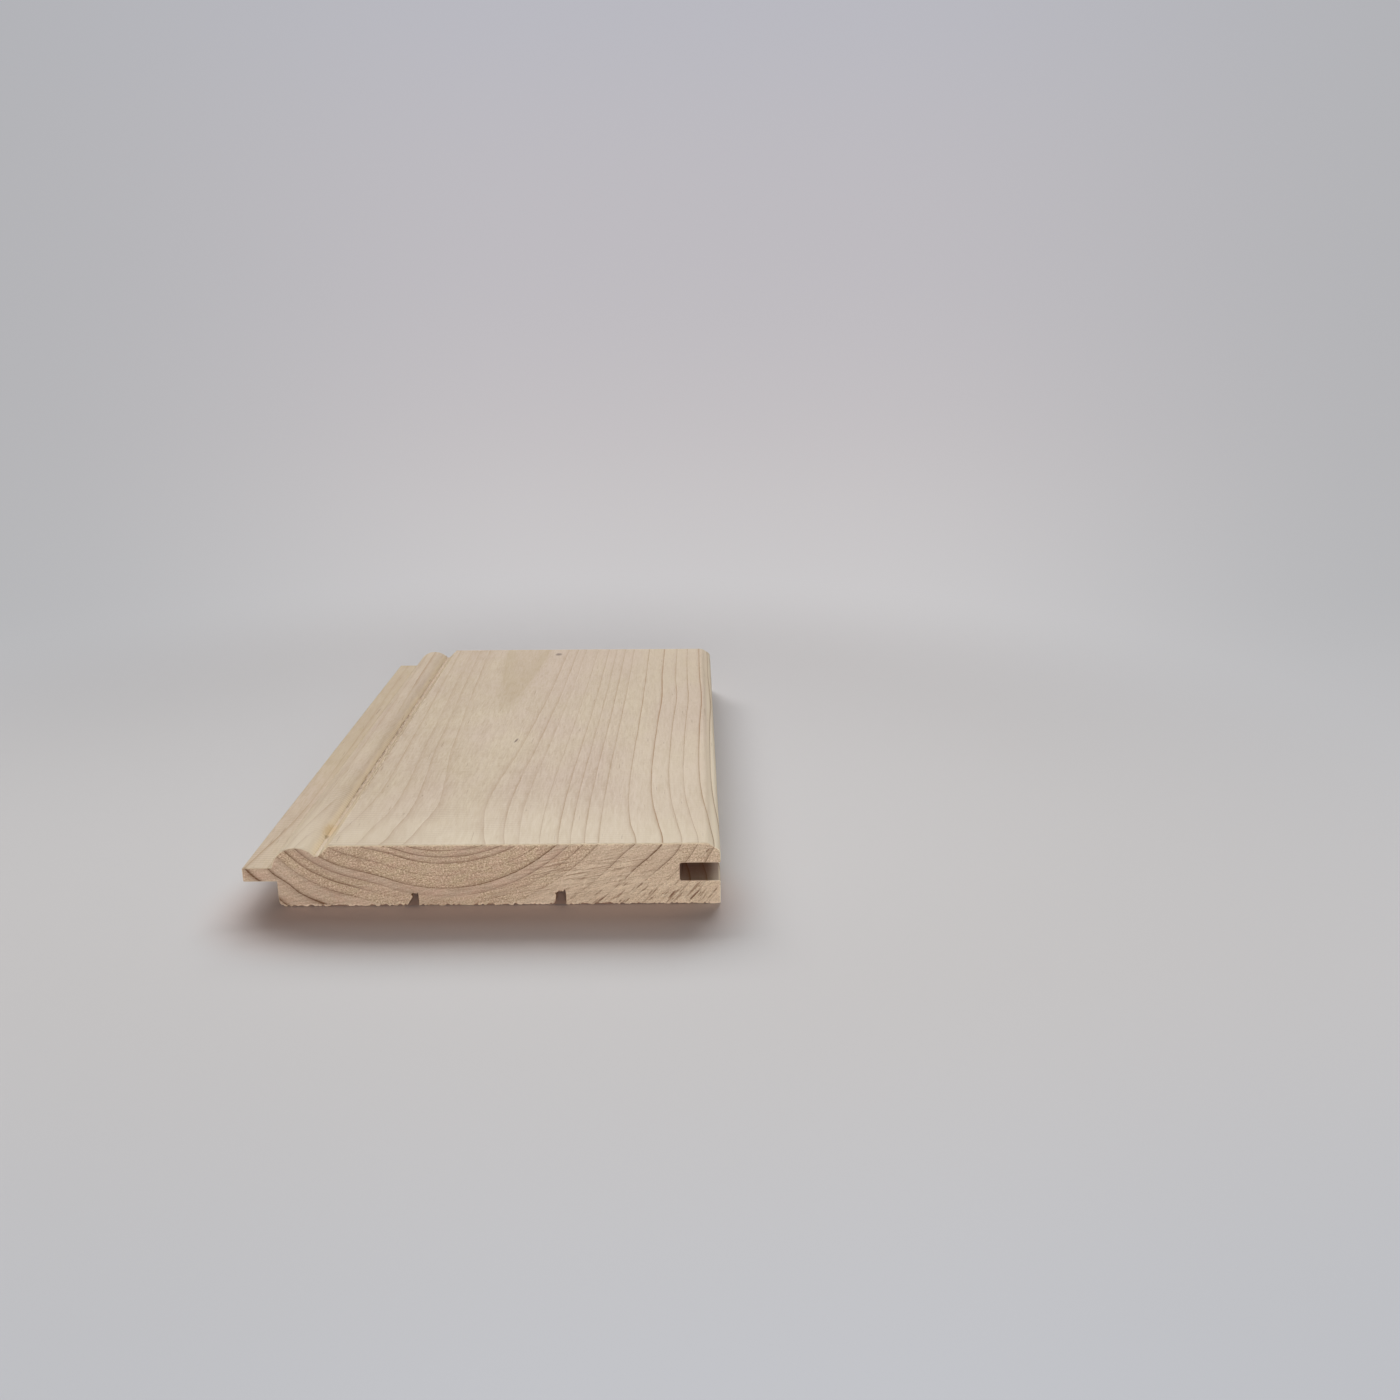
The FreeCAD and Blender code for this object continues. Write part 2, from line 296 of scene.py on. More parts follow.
# The arris of each end is eased: the section shrinks over the last part of the length.
short = maths(mill, "MAXIMUM", maths(mill, "SUBTRACT", given["End ease"], from_end), 0.0)
eased_by = maths(
    mill, "SUBTRACT", given["End ease"],
    maths(mill, "SQRT", maths(mill, "MAXIMUM", maths(
        mill, "SUBTRACT", maths(mill, "MULTIPLY", given["End ease"], given["End ease"]),
        maths(mill, "MULTIPLY", short, short)), 0.0)),
)
ease = vector_maths(mill, "SCALE", stored(mill, "outward", "FLOAT_VECTOR"), maths(mill, "MULTIPLY", eased_by, -1.0))

# The sawn back's unevenness, and the torn fibres along its ends.
back = stored(mill, "sawn_back", "FLOAT")
fine = add(
    mill, "ShaderNodeTexNoise",
    {"Vector": vector_maths(mill, "MULTIPLY", place, (1.0, 0.25, 1.0)), "W": given["Seed"], "Scale": 900.0,
     "Detail": 2.0},
    noise_dimensions="4D",
).outputs[0]
coarse = add(
    mill, "ShaderNodeTexNoise",
    {"Vector": vector_maths(mill, "MULTIPLY", place, (1.0, 0.12, 1.0)), "W": given["Seed"], "Scale": 950.0,
     "Detail": 4.0, "Roughness": 0.7},
    noise_dimensions="4D",
).outputs[0]
roughness = maths(mill, "MULTIPLY", given["Back roughness"], fine)
near_end = maths(mill, "EXPONENT", maths(mill, "MULTIPLY", from_end, -500.0))
torn_depth = maths(mill, "MULTIPLY", given["End tear"], ramp(mill, coarse, 0.4, 0.62))
lift = maths(mill, "MULTIPLY", back, maths(mill, "ADD", roughness, maths(mill, "MULTIPLY", torn_depth, near_end)))
pulled = add(
    mill, "ShaderNodeTexNoise",
    {"Vector": vector_maths(mill, "MULTIPLY", place, (1.0, 0.1, 1.0)), "W": given["Seed"], "Scale": 2100.0, "Detail": 3.0},
    noise_dimensions="4D",
).outputs[0]
near_front = maths(mill, "EXPONENT", maths(mill, "MULTIPLY", from_near_end, -160.0))
pulled_depth = maths(
    mill, "MULTIPLY", ramp(mill, pulled, 0.42, 0.58, 0.0, 1.0 * MM),
    maths(mill, "MULTIPLY", stored(mill, "spiked", "FLOAT"), maths(mill, "ADD", near_front, 0.25)),
)
lift_up = add(mill, "ShaderNodeCombineXYZ", {"Z": maths(mill, "ADD", lift, pulled_depth)}).outputs[0]

# The wood beside the relief grooves is broken out most where they leave the near end.
patches = add(
    mill, "ShaderNodeTexNoise", {"W": along, "Scale": 130.0, "Detail": 3.0}, noise_dimensions="1D"
).outputs[0]
broken = maths(mill, "MAXIMUM", near_front, ramp(mill, patches, 0.45, 0.75, 0.1, 0.8))
breaking = vector_maths(mill, "SCALE", stored(mill, "break_out", "FLOAT_VECTOR"), broken)

moved = vector_maths(mill, "ADD", vector_maths(mill, "ADD", place, ease), vector_maths(mill, "ADD", lift_up, breaking))
swept = add(mill, "GeometryNodeSetPosition", {"Geometry": swept, "Position": moved}).outputs[0]

facing = add(mill, "ShaderNodeSeparateXYZ", {"Vector": add(mill, "GeometryNodeInputNormal").outputs[0]}).outputs["Y"]
is_end = add(
    mill, "FunctionNodeCompare", {"A": maths(mill, "ABSOLUTE", facing), "B": 0.97},
    data_type="FLOAT", operation="GREATER_THAN",
).outputs[0]
swept = add(mill, "GeometryNodeSetShadeSmooth", {"Geometry": swept, "Shade Smooth": True}, domain="FACE").outputs[0]
creased = add(
    mill, "FunctionNodeCompare",
    {"A": add(mill, "GeometryNodeInputMeshEdgeAngle").outputs["Unsigned Angle"], "B": math.radians(34)},
    data_type="FLOAT", operation="GREATER_THAN",
).outputs[0]
swept = add(
    mill, "GeometryNodeSetShadeSmooth", {"Geometry": swept, "Selection": creased, "Shade Smooth": False}, domain="EDGE"
).outputs[0]
swept = add(
    mill, "GeometryNodeSetShadeSmooth", {"Geometry": swept, "Selection": is_end, "Shade Smooth": False}, domain="FACE"
).outputs[0]
swept = add(mill, "GeometryNodeRealizeInstances", {"Geometry": swept}).outputs[0]
swept = add(mill, "GeometryNodeSetMaterial", {"Geometry": swept, "Material": given["Planed"]}).outputs[0]
swept = add(
    mill, "GeometryNodeSetMaterial", {"Geometry": swept, "Selection": is_end, "Material": given["Sawn end"]}
).outputs[0]
add(mill, "NodeGroupOutput", {"Geometry": swept})


# The wood's growth rings. The board is cut from beside the heart, with the pith some 37 mm above the face,
# so the rings run under the face as wide arcs. They swell out round a branch close to the near end.
def curve(tree, value, points, handles="AUTO"):
    """A curve through the points, each from 0 to 1 both ways."""
    node = add(tree, "ShaderNodeFloatCurve", {"Value": value})
    line = node.mapping.curves[0]
    line.points[0].location = points[0]
    line.points[1].location = points[-1]
    for point in points[1:-1]:
        line.points.new(*point)
    for point in line.points:
        point.handle_type = handles
    node.mapping.update()
    return node.outputs[0]


rings = bpy.data.node_groups.new("growth rings", "ShaderNodeTree")
rings.interface.new_socket("Place", in_out="INPUT", socket_type="NodeSocketVector")
for name in ("Line", "Band", "Grey", "Radius", "Angle"):
    rings.interface.new_socket(name, in_out="OUTPUT", socket_type="NodeSocketFloat")
place = add(rings, "NodeGroupInput").outputs["Place"]

# In millimetres, from the bead's outer side, the near end and the back.
in_mm = vector_maths(rings, "MULTIPLY_ADD", place, (1000.0, 1000.0, 1000.0), (middle_across, length / 2, 0.0))
across, along, up = add(rings, "ShaderNodeSeparateXYZ", {"Vector": in_mm}).outputs
share = maths(rings, "DIVIDE", along, length)
pith_lift = curve(rings, share, [
    (0.0, 0.50), (0.07, 0.67), (0.14, 0.74), (0.225, 0.7), (0.375, 0.54), (0.55, 0.4), (0.75, 0.255),
    (1.0, 0.115),
])
pith_height = maths(rings, "MULTIPLY_ADD", pith_lift, 5.0, 34.0 + thickness)
pith_shift = curve(rings, share, [
    (0.0, 0.43), (0.07, 0.75), (0.14, 0.95), (0.225, 0.85), (0.375, 0.55), (0.55, 0.65), (0.75, 0.45),
    (1.0, 0.25),
])
from_pith_across = maths(rings, "SUBTRACT", across, maths(rings, "ADD", pith_shift, 46.0))
from_pith_down = maths(rings, "SUBTRACT", pith_height, up)
flat_radius = maths(
    rings, "SQRT",
    maths(
        rings, "MULTIPLY_ADD", from_pith_across, from_pith_across,
        maths(rings, "MULTIPLY", from_pith_down, from_pith_down),
    ),
)
angle = maths(rings, "DEGREES", maths(rings, "ARCTAN2", from_pith_across, from_pith_down))
to_left = maths(rings, "MULTIPLY", angle, -1.0)


def fading(distance, reach):
    """1 at no distance, falling away smoothly past the reach."""
    shares = maths(rings, "DIVIDE", distance, reach)
    return maths(rings, "EXPONENT", maths(rings, "MULTIPLY", maths(rings, "MULTIPLY", shares, shares), -1.0))


flattening = maths(
    rings, "MULTIPLY", ramp(rings, maths(rings, "ABSOLUTE", angle), 4.0, 44.0, 0.0, 1.48),
    ramp(rings, flat_radius, 40.5, 49.0),
)
left_swell = maths(
    rings, "MULTIPLY", fading(along, 39.1),
    maths(
        rings, "MULTIPLY", ramp(rings, to_left, 18.0, 44.0, 0.0, 3.89),
        ramp(rings, flat_radius, 58.0, 64.0, 1.0, 0.74),
    ),
)
right_swell = maths(
    rings, "MULTIPLY", fading(along, 27.6),
    maths(
        rings, "ADD",
        maths(rings, "MULTIPLY", ramp(rings, flat_radius, 56.0, 64.0, 0.0, 1.52), ramp(rings, angle, 5.0, 30.0)),
        maths(rings, "MULTIPLY", ramp(rings, flat_radius, 58.0, 66.0, 0.0, 1.87), ramp(rings, angle, 48.0, 59.0)),
    ),
)
at_saw = maths(
    rings, "MULTIPLY", maths(rings, "MULTIPLY", fading(along, 9.0), ramp(rings, to_left, 8.0, 26.0, 0.0, -0.55)),
    ramp(rings, flat_radius, 48.5, 43.5),
)
low_right = maths(rings, "MULTIPLY", ramp(rings, flat_radius, 74.0, 82.0, 0.0, 1.1), ramp(rings, angle, 57.0, 50.0))
left_edge = maths(
    rings, "MULTIPLY", fading(along, 14.0),
    maths(rings, "MULTIPLY", ramp(rings, to_left, 20.0, 36.0, 0.0, 0.38), ramp(rings, flat_radius, 45.0, 50.0)),
)
low_left = maths(
    rings, "MULTIPLY", fading(along, 40.0),
    maths(rings, "MULTIPLY", ramp(rings, up, 10.0, 6.0, 0.0, -0.6), ramp(rings, to_left, 38.0, 43.0)),
)
wave = maths(
    rings, "MULTIPLY", fading(maths(rings, "SUBTRACT", along, 131.5), 20.5),
    maths(rings, "MULTIPLY", ramp(rings, flat_radius, 60.0, 68.0, 0.0, 0.68), ramp(rings, angle, 0.0, 10.0)),
)
outer_face = maths(
    rings, "MULTIPLY", ramp(rings, along, 3.0, 14.0, 0.0, -0.34),
    maths(rings, "MULTIPLY", ramp(rings, flat_radius, 55.0, 62.0), ramp(rings, angle, 5.0, 15.0)),
)
in_tongue = ramp(rings, across, 0.0, -3.0, 0.0, -0.6)
wander = add(
    rings, "ShaderNodeTexNoise",
    {"Vector": vector_maths(rings, "MULTIPLY", place, (1.0, 0.2, 1.0)), "Scale": 142.0, "Detail": 3.0,
     "Roughness": 0.5},
).outputs[0]
radius = maths(rings, "ADD", flat_radius, flattening)
for swell in (left_swell, right_swell, at_saw, left_edge, low_left, low_right, outer_face, in_tongue, wave):
    radius = maths(rings, "SUBTRACT", radius, swell)
radius = maths(rings, "MULTIPLY_ADD", maths(rings, "SUBTRACT", wander, 0.5), 0.34, radius)

# Each year: how far from the pith it ends, how dark its last wood's line is to the left of the pith, below it
# and to the right, how dark the soft band before the line is, and how grey and smooth the year's wood is.
years = [
    (32.6, 0.3, 0.3, 0.3, 0.2, 0.3), (35.62, 0.0, 0.0, 0.0, 0.0, 0.3), (38.35, 0.55, 0.65, 0.6, 0.35, 0.5),
    (40.15, 0.6, 0.66, 0.6, 0.35, 0.6), (41.95, 0.62, 1.05, 0.42, 0.3, 0.5), (45.6, 0.8, 0.04, 0.28, 0.12, 0.1),
    (49.35, 1.35, 0.92, 1.4, 0.35, 0.05), (51.7, 1.0, 0.25, 0.62, 0.35, 0.9), (54.3, 1.4, 0.1, 0.5, 0.4, 0.45),
    (57.1, 0.8, 0.02, 0.5, 0.25, 0.25), (62.5, 2.0, 0.6, 0.4, 0.3, 0.75), (67.7, 2.4, 1.0, 1.22, 0.5, 0.75),
    (72.1, 2.6, 0.8, 0.7, 0.5, 0.65), (75.85, 0.7, 0.5, 0.38, 0.5, 0.4), (80.2, 1.0, 1.0, 1.12, 0.5, 0.3),
    (83.8, 0.7, 0.7, 0.75, 0.7, 0.3), (87.4, 0.9, 0.9, 0.95, 0.7, 0.3), (91.2, 0.7, 0.7, 0.8, 0.7, 0.3),
    (96.0, 0.8, 0.8, 0.8, 0.7, 0.3),
]
inner, outer = years[0][0], years[-1][0]
reach = outer - inner
ring_share = maths(rings, "DIVIDE", maths(rings, "SUBTRACT", radius, inner), reach)
ring_curve = curve(
    rings, ring_share, [((year[0] - inner) / reach, index / len(years)) for index, year in enumerate(years)], "VECTOR"
)


def held_curve(values):
    """A curve that holds one value through each year, and steps to the next at the year's end."""
    points = []
    for index, value in enumerate(values[1:], 1):
        points += [((years[index - 1][0] - inner) / reach + 0.0015, value), ((years[index][0] - inner) / reach, value)]
    return curve(rings, ring_share, points, "VECTOR")


ring = maths(rings, "MULTIPLY", ring_curve, float(len(years)))
year_width = held_curve([0.1] + [(late[0] - early[0]) / 8 for early, late in zip(years, years[1:])])
through_year = maths(rings, "FRACT", ring)
before_end = maths(
    rings, "MULTIPLY", maths(rings, "SUBTRACT", 1.0, through_year), maths(rings, "MULTIPLY", year_width, 8.0)
)
darks = [
    maths(rings, "MULTIPLY", held_curve([year[column] / 3 for year in years]), 3.0) for column in (1, 2, 3)
]
left_and_below = add(
    rings, "ShaderNodeMix", {"Factor": ramp(rings, angle, -32.0, -16.0), "A": darks[0], "B": darks[1]}
).outputs["Result"]
dark = add(
    rings, "ShaderNodeMix", {"Factor": ramp(rings, angle, 16.0, 34.0), "A": left_and_below, "B": darks[2]}
).outputs["Result"]
uneven = add(
    rings, "ShaderNodeTexNoise",
    {"Vector": vector_maths(rings, "MULTIPLY", place, (1.0, 0.3, 1.0)), "Scale": 60.0, "Detail": 3.0},
).outputs[0]
dark = maths(rings, "MULTIPLY", dark, ramp(rings, uneven, 0.3, 0.7, 0.65, 1.35))
line_width = ramp(rings, angle, -34.0, -20.0, -0.38, -0.24)
line = maths(rings, "EXPONENT", maths(rings, "DIVIDE", before_end, line_width))
# To the left the next year's first wood is still brown for a little way.
after_start = maths(rings, "MULTIPLY", through_year, maths(rings, "MULTIPLY", year_width, 8.0))
trailing = maths(rings, "EXPONENT", maths(rings, "DIVIDE", after_start, -0.8))
line = maths(rings, "MULTIPLY_ADD", trailing, ramp(rings, angle, -34.0, -20.0, 0.22, 0.0), line)
band = maths(rings, "EXPONENT", maths(rings, "DIVIDE", before_end, -1.05))
add(rings, "NodeGroupOutput", {
    "Line": maths(rings, "MULTIPLY", line, dark),
    "Band": maths(rings, "MULTIPLY", band, held_curve([year[4] for year in years])),
    "Grey": held_curve([year[5] for year in years]), "Radius": radius, "Angle": angle,
})


# Small marks in the wood: a resin fleck, a bark speck or a pin knot, each a soft spot drawn out along
# the grain at its own place on the board.
mark = bpy.data.node_groups.new("mark in the wood", "ShaderNodeTree")
for name, kind, value in (
    ("Place", "NodeSocketVector", None),
    ("Centre", "NodeSocketVector", None),
    ("Size", "NodeSocketVector", None),
    ("Turn", "NodeSocketVector", None),
    ("Ragged", "NodeSocketFloat", 0.5),
):
    socket = mark.interface.new_socket(name, in_out="INPUT", socket_type=kind)
    if value is not None:
        socket.default_value = value
mark.interface.new_socket("Mask", in_out="OUTPUT", socket_type="NodeSocketFloat")
given = add(mark, "NodeGroupInput").outputs
turned = add(
    mark, "ShaderNodeVectorRotate", {"Vector": given["Place"], "Center": given["Centre"], "Rotation": given["Turn"]},
    rotation_type="EULER_XYZ",
).outputs[0]
offset = vector_maths(mark, "DIVIDE", vector_maths(mark, "SUBTRACT", turned, given["Centre"]), given["Size"])
rough_edge = add(mark, "ShaderNodeTexNoise", {"Vector": given["Place"], "Scale": 2200.0, "Detail": 2.0}).outputs[0]
spread = maths(
    mark, "MULTIPLY_ADD", maths(mark, "SUBTRACT", rough_edge, 0.5), given["Ragged"], vector_maths(mark, "LENGTH", offset)
)
add(mark, "NodeGroupOutput", {"Mask": ramp(mark, spread, 1.0, 0.35)})


def from_corner(across_mm, along_mm, up_mm):
    """A place on the board, from millimetres off the bead's outer side, the near end and the back."""
    return ((across_mm - middle_across) * MM, (along_mm - length / 2) * MM, up_mm * MM)


def tone(red, green, blue):
    """A colour as it is seen, 0 to 255 a channel, for a shader's socket."""
    shares = (red / 255, green / 255, blue / 255)
    return tuple(c / 12.92 if c <= 0.04045 else ((c + 0.055) / 1.055) ** 2.4 for c in shares) + (1.0,)


def laid_over(tree, mask, under, over):
    """One colour laid over another by a mask."""
    node = add(tree, "ShaderNodeMix", data_type="RGBA")
    for socket, value in ((node.inputs[0], mask), (node.inputs[6], under), (node.inputs[7], over)):
        if isinstance(value, bpy.types.NodeSocket):
            tree.links.new(value, socket)
        else:
            socket.default_value = value
    return node.outputs[2]


def noise(tree, place, stretch, scale, detail=3.0, roughness=0.55, low=None, high=None, most=1.0):
    """Noise drawn out by stretching its place first, as a mask between two of its levels if they are given."""
    value = add(
        tree, "ShaderNodeTexNoise",
        {"Vector": vector_maths(tree, "MULTIPLY", place, stretch), "Scale": scale, "Detail": detail,
         "Roughness": roughness},
    ).outputs[0]
    return value if low is None else ramp(tree, value, low, high, 0.0, most)


def spot(tree, place, across_mm, along_mm, up_mm, size_mm, turn, ragged):
    """The mask of one mark in the wood, turned by degrees about each axis."""
    node = add(tree, "ShaderNodeGroup", node_tree=mark)
    tree.links.new(place, node.inputs["Place"])
    node.inputs["Centre"].default_value = from_corner(across_mm, along_mm, up_mm)
    node.inputs["Size"].default_value = [size * MM for size in size_mm]
    node.inputs["Turn"].default_value = [math.radians(degrees) for degrees in turn]
    node.inputs["Ragged"].default_value = ragged
    return node.outputs["Mask"]


# The planed wood of the face, bead, tongue, groove and back: pale cream spruce with thin tan year lines,
# fine fibres along the length, and the faint cross ripples that a moulder's knives leave.
planed = bpy.data.materials.new("planed spruce")
planed.use_nodes = True
tree = planed.node_tree
tree.nodes.clear()
place = add(tree, "ShaderNodeTexCoord").outputs["Object"]
wood = add(tree, "ShaderNodeGroup", node_tree=rings)
tree.links.new(place, wood.inputs["Place"])
in_mm = vector_maths(tree, "MULTIPLY_ADD", place, (1000.0, 1000.0, 1000.0), (middle_across, length / 2, 0.0))
across, along, up = add(tree, "ShaderNodeSeparateXYZ", {"Vector": in_mm}).outputs

fibres = noise(tree, place, (1.0, 0.09, 1.0), 2300.0, 3.0, 0.65)
streaks = noise(tree, place, (1.0, 0.035, 1.0), 620.0, 3.0, 0.6)
pinkness = noise(tree, place, (1.0, 0.4, 1.0), 34.0, 3.0, 0.6, 0.35, 0.65)
mottle = noise(tree, place, (1.0, 0.8, 1.0), 950.0, 2.0, 0.6)
grain = laid_over(tree, pinkness, tone(213, 195, 165), tone(210, 188, 167))
grain = laid_over(tree, ramp(tree, streaks, 0.35, 0.75, 0.0, 0.38), grain, tone(193, 171, 145))
grain = laid_over(tree, ramp(tree, fibres, 0.4, 0.75, 0.0, 0.38), grain, tone(184, 160, 130))
grain = laid_over(tree, ramp(tree, mottle, 0.5, 0.72, 0.0, 0.3), grain, tone(226, 210, 184))
# Further back the tongue turns a little olive. The rest is painted light and shade for how the lamps fall: the near
# end, the near right of the face, the lip and the sides of the bead and the quirk are painted paler, and the far end
# and the left of the face are painted darker and a little yellower.
olive = maths(tree, "MULTIPLY", ramp(tree, across, 0.6, -0.6, 0.0, 0.6), ramp(tree, along, 30.0, 110.0, 0.1, 1.0))
grain = laid_over(tree, olive, grain, tone(184, 164, 122))
# Painted light: the near end, the near right of the face and the tongue's near part are painted paler.
painted_paler_light = maths(tree, "MULTIPLY", ramp(tree, across, 84.0, 102.0), ramp(tree, along, 110.0, 40.0, 0.15, 0.45))
painted_paler_light = maths(tree, "MAXIMUM", ramp(tree, along, 50.0, 0.0, 0.0, 0.74), painted_paler_light)
painted_tongue_light = maths(tree, "MULTIPLY", ramp(tree, across, 0.4, -0.4), ramp(tree, along, 45.0, 8.0, 0.0, 0.25))
painted_paler_light = maths(tree, "MAXIMUM", maths(tree, "MULTIPLY", painted_paler_light, ramp(tree, up, 14.6, 15.0)), painted_tongue_light)
grain = laid_over(tree, painted_paler_light, grain, tone(234, 219, 192))
# Painted light: the lip's bevel is painted paler.
grain = laid_over(tree, ramp(tree, across, 117.4, 119.6, 0.0, 0.95), grain, tone(250, 236, 210))
# Painted light: the bead's flanks, its inner side and the quirk's slope are painted paler against their shading.
flank = maths(tree, "MULTIPLY", ramp(tree, across, -0.4, 0.2), ramp(tree, across, 4.8, 1.8))
flank = maths(tree, "MULTIPLY", maths(tree, "MULTIPLY", flank, ramp(tree, up, 11.3, 11.6)), ramp(tree, along, 60.0, 12.0, 0.5, 0.6))
painted_slope_light = maths(tree, "MULTIPLY", ramp(tree, across, 12.6, 14.5), ramp(tree, across, 16.6, 15.2))
painted_slope_light = maths(tree, "MULTIPLY", painted_slope_light, ramp(tree, up, 14.8, 15.1))
inner = maths(tree, "MULTIPLY", ramp(tree, across, 10.0, 11.2), ramp(tree, across, 12.0, 11.85, 0.0, 0.85))
inner = maths(tree, "MULTIPLY", inner, ramp(tree, up, 14.6, 15.0))
side = maths(tree, "MAXIMUM", painted_slope_light, inner)
side = maths(tree, "MULTIPLY", side, ramp(tree, along, 20.0, 60.0, 1.0, 0.78))
grain = laid_over(tree, maths(tree, "MAXIMUM", flank, side), grain, tone(244, 227, 196))
# Painted shade: the far end and the left part of the face are painted darker.
grain = laid_over(tree, ramp(tree, along, 60.0, 170.0, 0.0, 0.26), grain, tone(174, 152, 122))
grain = laid_over(tree, ramp(tree, across, 52.0, 26.0, 0.0, 0.14), grain, tone(176, 152, 116))

band = maths(tree, "MULTIPLY", wood.outputs["Band"], 0.27)
line = maths(tree, "MULTIPLY", wood.outputs["Line"], ramp(tree, wood.outputs["Radius"], 50.0, 53.0, 0.62, 1.1))
further = maths(tree, "MULTIPLY", ramp(tree, wood.outputs["Radius"], 58.0, 62.0), ramp(tree, wood.outputs["Radius"], 71.5, 69.5))
line = maths(tree, "MULTIPLY", line, maths(tree, "MULTIPLY_ADD", further, ramp(tree, along, 50.0, 90.0, 0.0, 0.35), 1.0))
line = maths(tree, "MULTIPLY", line, ramp(tree, along, 40.0, 90.0, 1.0, 1.25))
line = maths(tree, "MULTIPLY", line, ramp(tree, wood.outputs["Radius"], 77.0, 79.0, 1.0, 1.25))
line = maths(tree, "MULTIPLY", line, ramp(tree, across, 1.0, 14.0, 0.14, 0.7))
on_root = maths(tree, "MULTIPLY_ADD", ramp(tree, across, 0.4, -0.4), ramp(tree, along, 25.0, 60.0, 1.2, -0.45), 1.0)
line = maths(tree, "MULTIPLY", line, on_root)
line = maths(tree, "MULTIPLY", line, ramp(tree, across, 24.0, 46.0, 1.0, 1.43))
# The bead's inner side lies along the rings, so their lines only brush it.
brushed = maths(tree, "MULTIPLY", ramp(tree, across, 7.6, 9.0), ramp(tree, across, 15.0, 13.4))
kept = maths(tree, "SUBTRACT", 1.0, maths(tree, "MULTIPLY", brushed, ramp(tree, up, 17.7, 17.3, 0.0, 0.85)))
grain = laid_over(tree, maths(tree, "MULTIPLY", band, kept), grain, tone(176, 148, 114))
grain = laid_over(tree, maths(tree, "MULTIPLY", line, kept), grain, tone(161, 122, 80))

# The tongue's root is painted a little darker towards the near end, as painted shade in the corner.
root = maths(tree, "MULTIPLY", ramp(tree, across, -1.3, -0.2), ramp(tree, across, 0.7, 0.1))
root = maths(tree, "MULTIPLY", maths(tree, "MULTIPLY", root, ramp(tree, up, 13.2, 11.8)), ramp(tree, along, 36.0, 18.0))
grain = laid_over(tree, maths(tree, "MULTIPLY", root, 0.3), grain, tone(150, 118, 84))

# The innermost year, nearest the pith, is tan right through: it shows as a soft flame at the far end.
heart = maths(
    tree, "SUBTRACT", ramp(tree, wood.outputs["Radius"], 36.1, 35.35, 0.0, 0.62),
    ramp(tree, wood.outputs["Radius"], 35.5, 34.7, 0.0, 0.3),
)
grain = laid_over(tree, heart, grain, tone(180, 157, 117))

# Resin ducts show as fine short dashes along the grain.
ducts = noise(tree, place, (1.0, 0.06, 1.0), 1500.0, 1.0, 0.5, 0.71, 0.78, 0.5)
grain = laid_over(tree, ducts, grain, tone(146, 114, 84))

# The moulder's knives left faint ripples across the board, clearest on its left half. Besides their bump they are
# painted as faint darker bands, painted shade of the ripples.
ripple = add(
    tree, "ShaderNodeTexWave",
    {"Vector": place, "Scale": 0.3142 / (1.35 * MM), "Distortion": 2.2, "Detail": 2.0, "Detail Scale": 0.35},
    bands_direction="Y",
).outputs["Fac"]
ripple_patches = noise(tree, place, (1.0, 1.0, 1.0), 55.0, 2.0, 0.5, 0.35, 0.65)
ripple = maths(
    tree, "MULTIPLY", maths(tree, "MULTIPLY", ripple, ripple_patches), ramp(tree, across, 75.0, 40.0, 0.35, 1.0)
)
grain = laid_over(tree, maths(tree, "MULTIPLY", ripple, 0.3), grain, tone(172, 146, 120))

# Along the quirk the cutter tore the grain: a broken dark line in its floor, and pale fuzz up its slope. The floor is
# also painted darker, as painted shade in the recess.
tearing = maths(tree, "MULTIPLY", ramp(tree, along, 22.0, 52.0, 0.06, 1.0), ramp(tree, along, 170.0, 110.0, 0.2, 1.0))
floor = maths(tree, "MULTIPLY", ramp(tree, across, 11.6, 11.85), ramp(tree, across, 12.8, 12.3))
floor = maths(tree, "MULTIPLY", maths(tree, "MULTIPLY", floor, ramp(tree, up, 16.0, 15.3)), ramp(tree, up, 14.4, 14.8))
in_floor = maths(tree, "MULTIPLY", floor, tearing)
on_slope = maths(tree, "MULTIPLY", ramp(tree, across, 12.6, 13.4), ramp(tree, across, 16.8, 15.6))
on_slope = maths(tree, "MULTIPLY", maths(tree, "MULTIPLY", on_slope, ramp(tree, up, 14.8, 15.2)), tearing)
pits = noise(tree, place, (1.0, 0.3, 1.0), 1150.0, 3.0, 0.65, 0.46, 0.62)
tufts = noise(tree, place, (1.0, 0.4, 1.0), 1500.0, 2.0, 0.6, 0.52, 0.68)
# Painted shade: the quirk's floor is painted darker.
quirk_floor_painted_shade = maths(tree, "MULTIPLY", floor, ramp(tree, along, 15.0, 66.0, 0.3, 0.6))
grain = laid_over(tree, quirk_floor_painted_shade, grain, tone(172, 146, 116))
grain = laid_over(tree, maths(tree, "MULTIPLY", maths(tree, "MULTIPLY", in_floor, pits), 0.6), grain, tone(126, 98, 70))
grain = laid_over(tree, maths(tree, "MULTIPLY", maths(tree, "MULTIPLY", on_slope, pits), 0.4), grain, tone(154, 126, 94))
grain = laid_over(tree, maths(tree, "MULTIPLY", maths(tree, "MULTIPLY", on_slope, tufts), 0.4), grain, tone(226, 210, 184))

